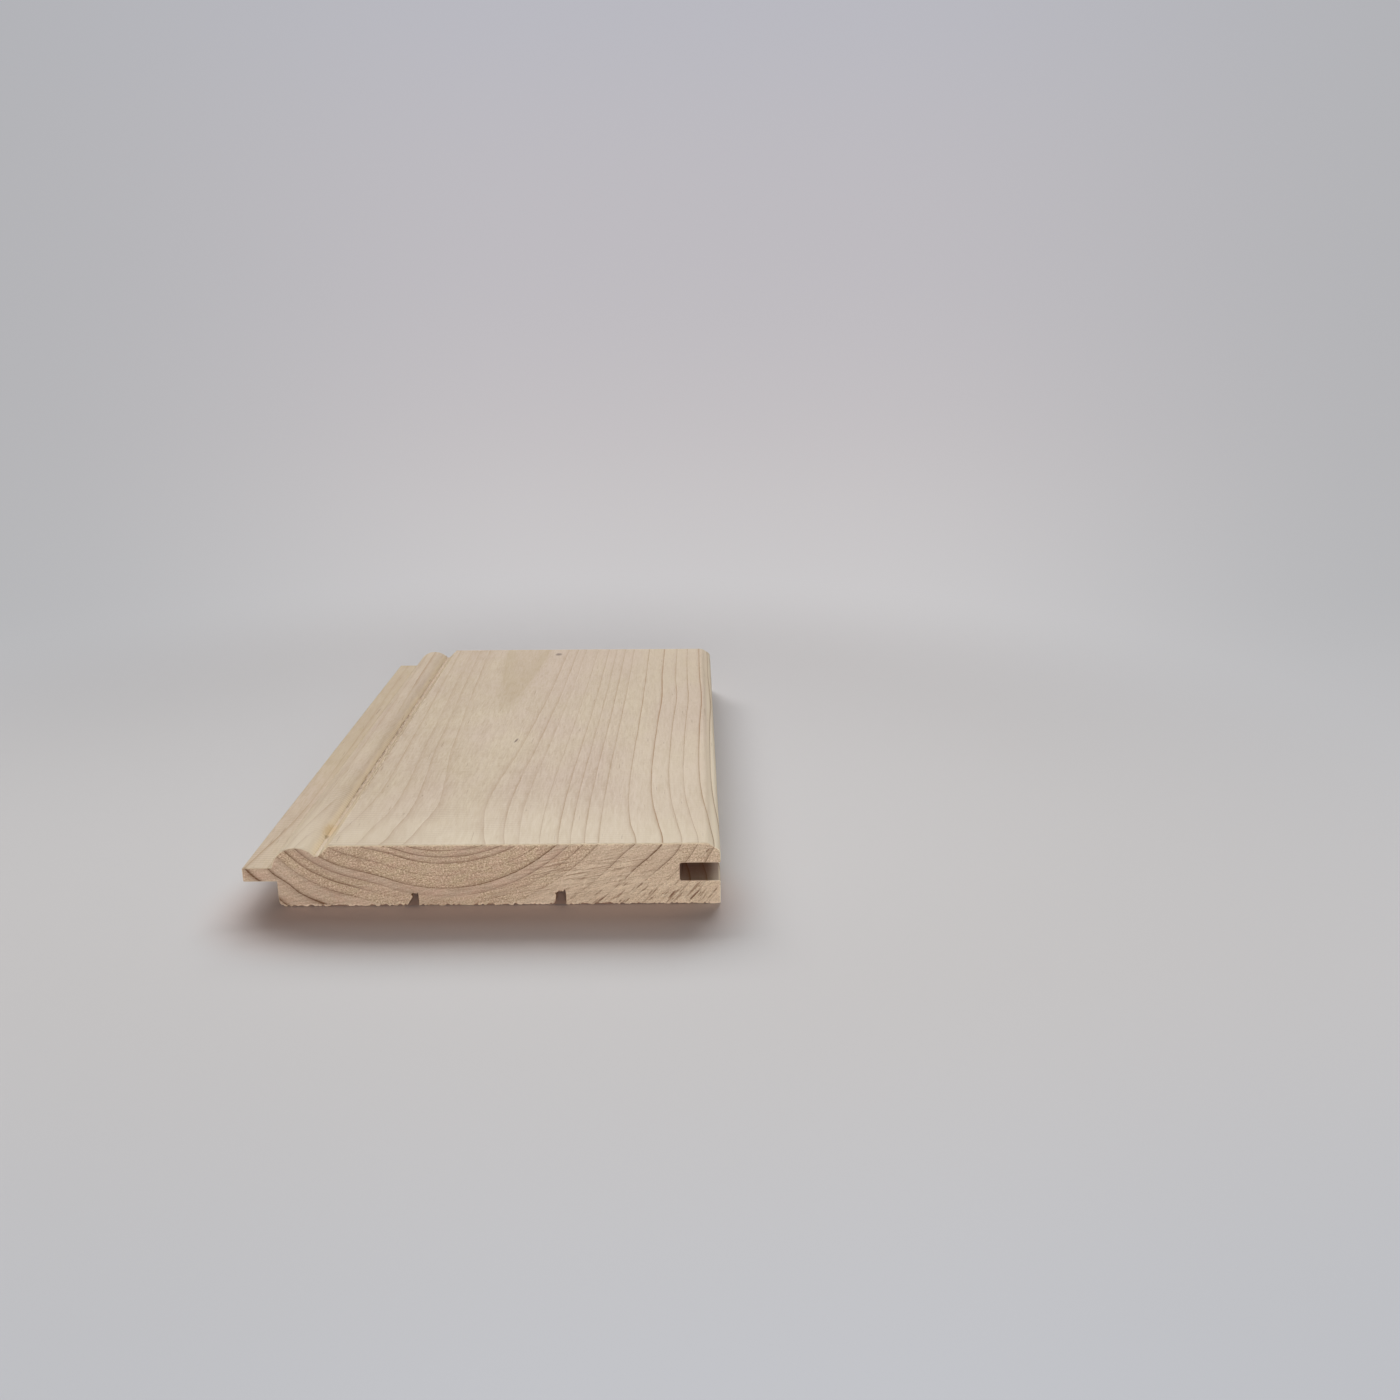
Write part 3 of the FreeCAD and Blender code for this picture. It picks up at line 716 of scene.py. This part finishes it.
# The narrow grooves in the edge and the back are painted brown and darker inside, as painted shade.
groove_painted_shade = maths(tree, "MULTIPLY", ramp(tree, across, 109.4, 109.9), ramp(tree, up, 6.6, 6.95))
groove_painted_shade = maths(tree, "MULTIPLY", groove_painted_shade, ramp(tree, up, 12.6, 12.25))
groove_painted_shade = maths(tree, "MULTIPLY", maths(tree, "MULTIPLY", groove_painted_shade, ramp(tree, across, 120.8, 120.3)), ramp(tree, up, 7.0, 8.4, 0.7, 1.0))
grain = laid_over(tree, maths(tree, "MULTIPLY", groove_painted_shade, ramp(tree, along, 0.0, 9.0, 0.45, 0.9)), grain, tone(130, 74, 54))
# Painted shade: the relief grooves' walls are painted darker.
relief_painted_shade = maths(tree, "MULTIPLY", ramp(tree, up, 0.3, 0.8), ramp(tree, up, 5.0, 4.6))
relief_painted_shade = maths(tree, "MULTIPLY", relief_painted_shade, maths(tree, "MULTIPLY", ramp(tree, across, 20.0, 21.0), ramp(tree, across, 100.0, 99.0)))
grain = laid_over(tree, maths(tree, "MULTIPLY", relief_painted_shade, 0.6), grain, tone(172, 128, 100))

# Marks: a yellow burr of resin in the quirk, a short dark dash, a speck by the far end and a few faint ones.
for where, size, turn, ragged, strength, colour in (
    ((12.3, 16.6, 15.4), (3.4, 6.0, 2.8), 0, 1.2, 0.6, tone(208, 178, 126)),
    ((11.9, 12.6, 15.2), (0.7, 1.6, 2.0), 0, 0.8, 0.6, tone(146, 120, 80)),
    ((55.3, 85.0, 18.0), (0.5, 2.9, 2.0), 10, 0.3, 0.85, tone(104, 82, 66)),
    ((59.0, 192.4, 18.0), (1.8, 2.6, 2.0), 0, 0.8, 0.8, tone(110, 88, 70)),
    ((34.0, 36.0, 18.0), (0.35, 1.0, 2.0), 0, 0.5, 0.35, tone(130, 104, 80)),
    ((31.5, 22.0, 18.0), (0.35, 1.0, 2.0), 0, 0.5, 0.3, tone(130, 104, 80)),
    ((66.0, 24.0, 18.0), (0.35, 1.0, 2.0), 0, 0.5, 0.25, tone(130, 104, 80)),
    ((22.0, 44.0, 18.0), (0.35, 1.0, 2.0), 0, 0.5, 0.4, tone(130, 104, 80)),
):
    fleck = maths(tree, "MULTIPLY", spot(tree, place, *where, size, (0, 0, turn), ragged), strength)
    grain = laid_over(tree, fleck, grain, colour)

# Both ends of the planed sides carry a thin pale rim, where the saw left the arris furry.
from_end = maths(tree, "SUBTRACT", length / 2, maths(tree, "ABSOLUTE", maths(tree, "SUBTRACT", along, length / 2)))
furry = maths(tree, "MULTIPLY_ADD", noise(tree, place, (1.0, 1.0, 1.0), 1400.0, 2.0), 0.5, from_end)
furry = maths(tree, "MULTIPLY", ramp(tree, furry, 0.75, 0.45, 0.0, 0.6), ramp(tree, up, 17.0, 17.8, 0.25, 1.0))
grain = laid_over(tree, furry, grain, tone(228, 209, 178))

# The back was never planed finely: it keeps the saw's brown bloom and its fuzz.
sawn_back_mask = ramp(tree, up, 0.35, 0.1)
bloom = noise(tree, place, (1.0, 0.15, 1.0), 700.0, 3.0, 0.65, 0.35, 0.7, 0.5)
grain = laid_over(tree, maths(tree, "MULTIPLY", sawn_back_mask, bloom), grain, tone(176, 146, 112))

height = maths(tree, "MULTIPLY_ADD", wood.outputs["Line"], 0.2, maths(tree, "MULTIPLY", fibres, 0.6))
height = maths(tree, "MULTIPLY_ADD", mottle, 0.3, height)
height = maths(tree, "MULTIPLY_ADD", ripple, 0.2, height)
torn_height = maths(tree, "MULTIPLY", maths(tree, "SUBTRACT", tufts, pits), maths(tree, "MAXIMUM", in_floor, on_slope))
height = maths(tree, "MULTIPLY_ADD", torn_height, 2.0, height)
height = maths(tree, "MULTIPLY_ADD", maths(tree, "MULTIPLY", sawn_back_mask, bloom), 4.0, height)
bump = add(tree, "ShaderNodeBump", {"Height": height, "Strength": 1.0, "Distance": 0.035 * MM}).outputs[0]
gloss = ramp(tree, fibres, 0.3, 0.7, 0.58, 0.72)
shader = add(
    tree, "ShaderNodeBsdfPrincipled",
    {"Base Color": grain, "Roughness": gloss, "Specular IOR Level": 0.22, "Normal": bump},
)
add(tree, "ShaderNodeOutputMaterial", {"Surface": shader.outputs[0]})


# The sawn ends: the same wood seen across the fibres, browner and matt, because the open pores swallow
# the light, with dark year lines, pale fuzz, fine saw scratches, and tears in the loose outer wood.
sawn = bpy.data.materials.new("sawn end grain")
sawn.use_nodes = True
tree = sawn.node_tree
tree.nodes.clear()
place = add(tree, "ShaderNodeTexCoord").outputs["Object"]
wood = add(tree, "ShaderNodeGroup", node_tree=rings)
tree.links.new(place, wood.inputs["Place"])
in_mm = vector_maths(tree, "MULTIPLY_ADD", place, (1000.0, 1000.0, 1000.0), (middle_across, length / 2, 0.0))
across, along, up = add(tree, "ShaderNodeSeparateXYZ", {"Vector": in_mm}).outputs

# Along the rings and out from the pith, in metres, for what follows the rings.
round_rings = add(
    tree, "ShaderNodeCombineXYZ",
    {"X": maths(tree, "MULTIPLY", wood.outputs["Angle"], 0.001), "Y": maths(tree, "MULTIPLY", wood.outputs["Radius"], MM)},
).outputs[0]

smooth = maths(tree, "MULTIPLY_ADD", noise(tree, round_rings, (0.7, 1.6, 1.0), 190.0, 3.0, 0.6), 1.6, -0.8)
smooth = ramp(tree, maths(tree, "ADD", smooth, wood.outputs["Grey"]), 0.15, 0.85)
pores = noise(tree, place, (0.85, 0.2, 1.15), 2800.0, 2.0, 0.7)
fuzz = noise(tree, place, (0.85, 0.2, 1.15), 1900.0, 3.0, 0.7)
rows = noise(tree, round_rings, (0.16, 1.5, 1.0), 900.0, 3.0, 0.6)
end = laid_over(tree, smooth, tone(204, 181, 151), tone(202, 179, 158))
ruddy = noise(tree, place, (0.7, 0.2, 1.0), 360.0, 3.0, 0.6, 0.35, 0.65, 0.65)
end = laid_over(tree, ruddy, end, tone(208, 174, 154))
outward_pale = ramp(tree, wood.outputs["Radius"], 50.0, 60.0)
end = laid_over(tree, maths(tree, "MULTIPLY", outward_pale, ramp(tree, across, 16.0, 34.0, 0.1, 0.6)), end, tone(219, 199, 173))
end = laid_over(tree, ramp(tree, rows, 0.35, 0.7, 0.0, 0.35), end, tone(168, 138, 112))
roughened = maths(tree, "MULTIPLY_ADD", smooth, -0.55, 1.0)
end = laid_over(tree, maths(tree, "MULTIPLY", ramp(tree, pores, 0.46, 0.63, 0.0, 0.9), roughened), end, tone(148, 119, 93))
end = laid_over(tree, maths(tree, "MULTIPLY", ramp(tree, fuzz, 0.5, 0.65, 0.0, 0.85), roughened), end, tone(240, 219, 192))
loose = maths(tree, "MULTIPLY", ramp(tree, across, 58.0, 100.0), ramp(tree, up, 12.5, 5.0))
broken_up = maths(tree, "MULTIPLY", loose, noise(tree, place, (1.0, 0.2, 1.0), 420.0, 2.0, 0.6, 0.4, 0.55, 0.85))
unbroken = maths(tree, "SUBTRACT", 1.0, broken_up)
end = laid_over(tree, maths(tree, "MULTIPLY", maths(tree, "MULTIPLY", wood.outputs["Band"], unbroken), 0.5), end, tone(146, 114, 88))
darker = maths(tree, "MULTIPLY", ramp(tree, wood.outputs["Angle"], -34.0, 20.0, 1.1, 1.6), ramp(tree, wood.outputs["Radius"], 77.0, 79.0, 1.0, 0.7))
end = laid_over(tree, maths(tree, "MULTIPLY", maths(tree, "MULTIPLY", wood.outputs["Line"], unbroken), darker), end, tone(108, 76, 52))

# Fine scratches of the saw, nearly level, and short dark tears that follow the rings low on the right.
level = add(tree, "ShaderNodeVectorRotate", {"Vector": place, "Angle": math.radians(11)}, rotation_type="Y_AXIS").outputs[0]
scratches = noise(tree, level, (0.04, 0.2, 1.0), 3000.0, 2.0, 0.6, 0.48, 0.66)
scratched = maths(tree, "MULTIPLY", ramp(tree, across, 62.0, 80.0), ramp(tree, across, 106.0, 96.0))
scratched = maths(tree, "MULTIPLY", maths(tree, "MULTIPLY", scratched, ramp(tree, up, 2.0, 4.5)), ramp(tree, up, 16.0, 12.0))
scratched = maths(tree, "MULTIPLY_ADD", scratched, 0.55, 0.22)
end = laid_over(tree, maths(tree, "MULTIPLY", scratches, scratched), end, tone(146, 118, 95))
raised = noise(tree, level, (0.04, 0.2, 1.0), 3400.0, 2.0, 0.6, 0.5, 0.64, 0.7)
end = laid_over(tree, maths(tree, "MULTIPLY", raised, scratched), end, tone(234, 214, 188))
end = laid_over(tree, maths(tree, "MULTIPLY", loose, 0.28), end, tone(230, 207, 180))
tears = noise(tree, round_rings, (0.2, 1.0, 1.0), 1150.0, 2.0, 0.6, 0.55, 0.68, 0.6)
end = laid_over(tree, maths(tree, "MULTIPLY", loose, tears), end, tone(122, 86, 60))
tufts = noise(tree, round_rings, (0.3, 1.0, 1.0), 1350.0, 2.0, 0.6, 0.54, 0.68, 0.65)
end = laid_over(tree, maths(tree, "MULTIPLY", loose, tufts), end, tone(236, 216, 190))

# The saw pulled a few slots open along the rings there, and one at the lip.
slots = None
for where, half_length, half_width, turn, depth in (
    ((108.0, 0.0, 3.1), 2.0, 0.32, 51, 0.7), ((113.9, 0.0, 2.7), 2.6, 0.34, 48, 0.8),
    ((102.0, 0.0, 3.5), 1.4, 0.26, 50, 0.5), ((117.6, 0.0, 15.8), 1.0, 0.24, 50, 0.6),
    ((88.5, 0.0, 1.6), 1.7, 0.26, 35, 0.6), ((93.7, 0.0, 1.1), 0.9, 0.24, 42, 0.5),
):
    slot = maths(tree, "MULTIPLY", spot(tree, place, *where, (half_length, 4.0, half_width), (0, turn, 0), 0.9), depth)
    slots = slot if slots is None else maths(tree, "MAXIMUM", slots, slot)
end = laid_over(tree, slots, end, tone(126, 84, 56))

# The arris above carries a ragged cream rim of fuzz, and the back's arris a fainter one.
ragged = noise(tree, place, (1.0, 0.2, 0.4), 1100.0, 3.0, 0.65)
rim = maths(tree, "MULTIPLY_ADD", ragged, 1.6, up)
end = laid_over(tree, ramp(tree, rim, 18.3, 18.6, 0.0, 0.8), end, tone(226, 205, 174))
fringe = maths(tree, "MULTIPLY_ADD", ragged, -1.5, up)
fringe = maths(tree, "MULTIPLY", ramp(tree, fringe, 0.1, -0.3), noise(tree, place, (1.0, 1.0, 0.0), 75.0, 2.0, 0.5, 0.35, 0.6, 0.75))
end = laid_over(tree, fringe, end, tone(234, 210, 186))

height = maths(tree, "MULTIPLY_ADD", fuzz, 0.7, maths(tree, "MULTIPLY", pores, -0.5))
height = maths(tree, "MULTIPLY_ADD", scratches, -0.4, height)
height = maths(tree, "MULTIPLY_ADD", maths(tree, "MULTIPLY", loose, maths(tree, "SUBTRACT", tufts, tears)), 1.0, height)
height = maths(tree, "MULTIPLY_ADD", slots, -2.0, height)
bump = add(tree, "ShaderNodeBump", {"Height": height, "Strength": 1.0, "Distance": 0.16 * MM}).outputs[0]
shader = add(
    tree, "ShaderNodeBsdfPrincipled",
    {"Base Color": end, "Roughness": ramp(tree, fuzz, 0.3, 0.7, 0.78, 0.92), "Specular IOR Level": 0.25, "Normal": bump},
)
add(tree, "ShaderNodeOutputMaterial", {"Surface": shader.outputs[0]})


# The section is run along the grain, becomes one plain mesh, and stands in for the plain solid.
milling = board.modifiers.new("milling", "NODES")
milling.node_group = mill
sockets = {item.name: item.identifier for item in mill.interface.items_tree if item.in_out == "INPUT"}
milling[sockets["Planed"]] = planed
milling[sockets["Sawn end"]] = sawn
bpy.context.view_layer.update()
made = bpy.data.meshes.new_from_object(board.evaluated_get(bpy.context.evaluated_depsgraph_get()))
board.modifiers.clear()
board.data = made
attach(board, "root")
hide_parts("board")


# The studio: a pale grey paper sweep, flat under the board and curving up far behind it. The paper's colour has a
# painted faint cool cast of daylight towards the viewer and up the wall, and painted light falloff: darker far behind,
# up the wall and to the sides.
sweep = bpy.data.meshes.new("paper_sweep")
sweep_start, sweep_radius = 0.32, 1.5
sweep_profile = [(-2.5, 0.0), (-0.6, 0.0), (0.0, 0.0), (sweep_start, 0.0)]
for step in range(1, 20):
    swing = math.radians(3 * step)
    sweep_profile.append((sweep_start + sweep_radius * math.sin(swing), sweep_radius * (1 - math.cos(swing))))
sweep_half = 3.0
sweep.from_pydata(
    [(side, y, z) for y, z in sweep_profile for side in (-sweep_half, sweep_half)],
    [],
    [(2 * i, 2 * i + 1, 2 * i + 3, 2 * i + 2) for i in range(len(sweep_profile) - 1)],
)
for face in sweep.polygons:
    face.use_smooth = True
paper = bpy.data.materials.new("grey paper")
paper.use_nodes = True
tree = paper.node_tree
tree.nodes.clear()
place = add(tree, "ShaderNodeTexCoord").outputs["Object"]
across, along, up = add(tree, "ShaderNodeSeparateXYZ", {"Vector": place}).outputs
paper_tint_and_painted_falloff = laid_over(tree, ramp(tree, along, -0.13, -0.28), tone(204, 202, 203), tone(195, 197, 203))
paper_tint_and_painted_falloff = laid_over(tree, ramp(tree, along, 0.1, 0.8), paper_tint_and_painted_falloff, tone(197, 193, 195))
paper_tint_and_painted_falloff = laid_over(tree, ramp(tree, along, 0.5, 1.15), paper_tint_and_painted_falloff, tone(190, 187, 192))
paper_tint_and_painted_falloff = laid_over(tree, ramp(tree, up, 0.2, 0.62), paper_tint_and_painted_falloff, tone(185, 185, 193))
# Painted shade: the paper is painted darker to either side, away from the board.
aside = maths(tree, "ABSOLUTE", maths(tree, "SUBTRACT", across, 0.06))
aside = maths(tree, "DIVIDE", aside, maths(tree, "ADD", maths(tree, "MAXIMUM", along, -0.25), 0.45))
aside = maths(tree, "MULTIPLY", ramp(tree, aside, 0.1, 0.55, 0.0, 0.75), ramp(tree, along, -0.2, 0.3, 0.35, 1.0))
paper_tint_and_painted_falloff = laid_over(tree, aside, paper_tint_and_painted_falloff, tone(176, 177, 180))
# Painted light: the paper under the lamps is painted paler towards the front.
paper_with_painted_light = laid_over(tree, ramp(tree, along, 0.2, -0.1, 0.04, 0.33), paper_tint_and_painted_falloff, (1.0, 1.0, 1.0, 1.0))
# Painted bounce light: the paper is painted warm before the near end, and warm under the board, where it shows through
# the relief grooves.
beside = maths(tree, "MAXIMUM", maths(tree, "SUBTRACT", maths(tree, "ABSOLUTE", across), 0.045), 0.0)
before = maths(tree, "ADD", along, 0.1)
from_end = maths(tree, "SQRT", maths(
    tree, "MULTIPLY_ADD", beside, beside, maths(tree, "MULTIPLY", before, before)))
paper_with_painted_light = laid_over(tree, ramp(tree, from_end, 0.036, 0.006, 0.0, 0.7), paper_with_painted_light, tone(212, 186, 176))
under_board_painted_bounce = maths(tree, "MULTIPLY", ramp(tree, across, -0.0546, -0.0541), ramp(tree, across, 0.0637, 0.0632))
under_board_painted_bounce = maths(tree, "MULTIPLY", under_board_painted_bounce, ramp(tree, maths(tree, "ABSOLUTE", along), 0.0997, 0.0992))
paper_with_painted_light = laid_over(tree, maths(tree, "MULTIPLY", under_board_painted_bounce, 0.85), paper_with_painted_light, tone(238, 206, 188))
shader = add(
    tree, "ShaderNodeBsdfPrincipled", {"Base Color": paper_with_painted_light, "Roughness": 0.9, "Specular IOR Level": 0.2}
)
# Away from the board the paper glows to the camera with its painted colour and painted light falloff, however the
# lights fall on it.
seen = add(tree, "ShaderNodeLightPath").outputs
seen = maths(tree, "MAXIMUM", seen["Is Camera Ray"], seen["Is Glossy Ray"])
from_board = vector_maths(tree, "LENGTH", place)
plain = add(tree, "ShaderNodeEmission", {"Color": paper_tint_and_painted_falloff, "Strength": 1.0})
both = add(
    tree, "ShaderNodeMixShader", {0: maths(tree, "MULTIPLY", seen, ramp(tree, from_board, 0.16, 0.34))},
)
tree.links.new(shader.outputs[0], both.inputs[1])
tree.links.new(plain.outputs[0], both.inputs[2])
add(tree, "ShaderNodeOutputMaterial", {"Surface": both.outputs[0]})
sweep.materials.append(paper)
backdrop = bpy.data.objects.new("paper_sweep", sweep)
bpy.context.scene.collection.objects.link(backdrop)


# A long soft box hangs behind the board and a weak one over it. A low one in front fills in the end.
def soft_box(name, location, size, watts):
    """A soft light, its width and height given, turned towards the board."""
    lamp = bpy.data.objects.new(name, bpy.data.lights.new(name, "AREA"))
    lamp.data.shape = "RECTANGLE"
    lamp.data.size, lamp.data.size_y = size
    lamp.data.energy = watts
    lamp.location = location
    lamp.rotation_euler = (-Vector(location)).to_track_quat("-Z", "Y").to_euler()
    bpy.context.scene.collection.objects.link(lamp)


soft_box("back_soft_box", (-0.38, 2.77, 1.88), (3.6, 1.25), 130.0)
soft_box("overhead_soft_box", (-0.1, 1.35, 2.2), (1.6, 1.0), 7.8)
soft_box("front_soft_box", (0.1, -1.1, 0.06), (0.5, 0.5), 10.8)

# The room's even light, and beyond the paper the same pale grey to the eye.
world = bpy.data.worlds.new("studio")
world.use_nodes = True
tree = world.node_tree
tree.nodes.clear()
room = add(tree, "ShaderNodeBackground", {"Color": (1.0, 0.8, 0.68, 1.0), "Strength": 0.07})
beyond = add(tree, "ShaderNodeBackground", {"Color": tone(185, 185, 190), "Strength": 1.0})
seen = add(tree, "ShaderNodeLightPath").outputs
both = add(tree, "ShaderNodeMixShader", {0: maths(tree, "MAXIMUM", seen["Is Camera Ray"], seen["Is Glossy Ray"])})
tree.links.new(room.outputs[0], both.inputs[1])
tree.links.new(beyond.outputs[0], both.inputs[2])
add(tree, "ShaderNodeOutputWorld", {"Surface": both.outputs[0]})
bpy.context.scene.world = world
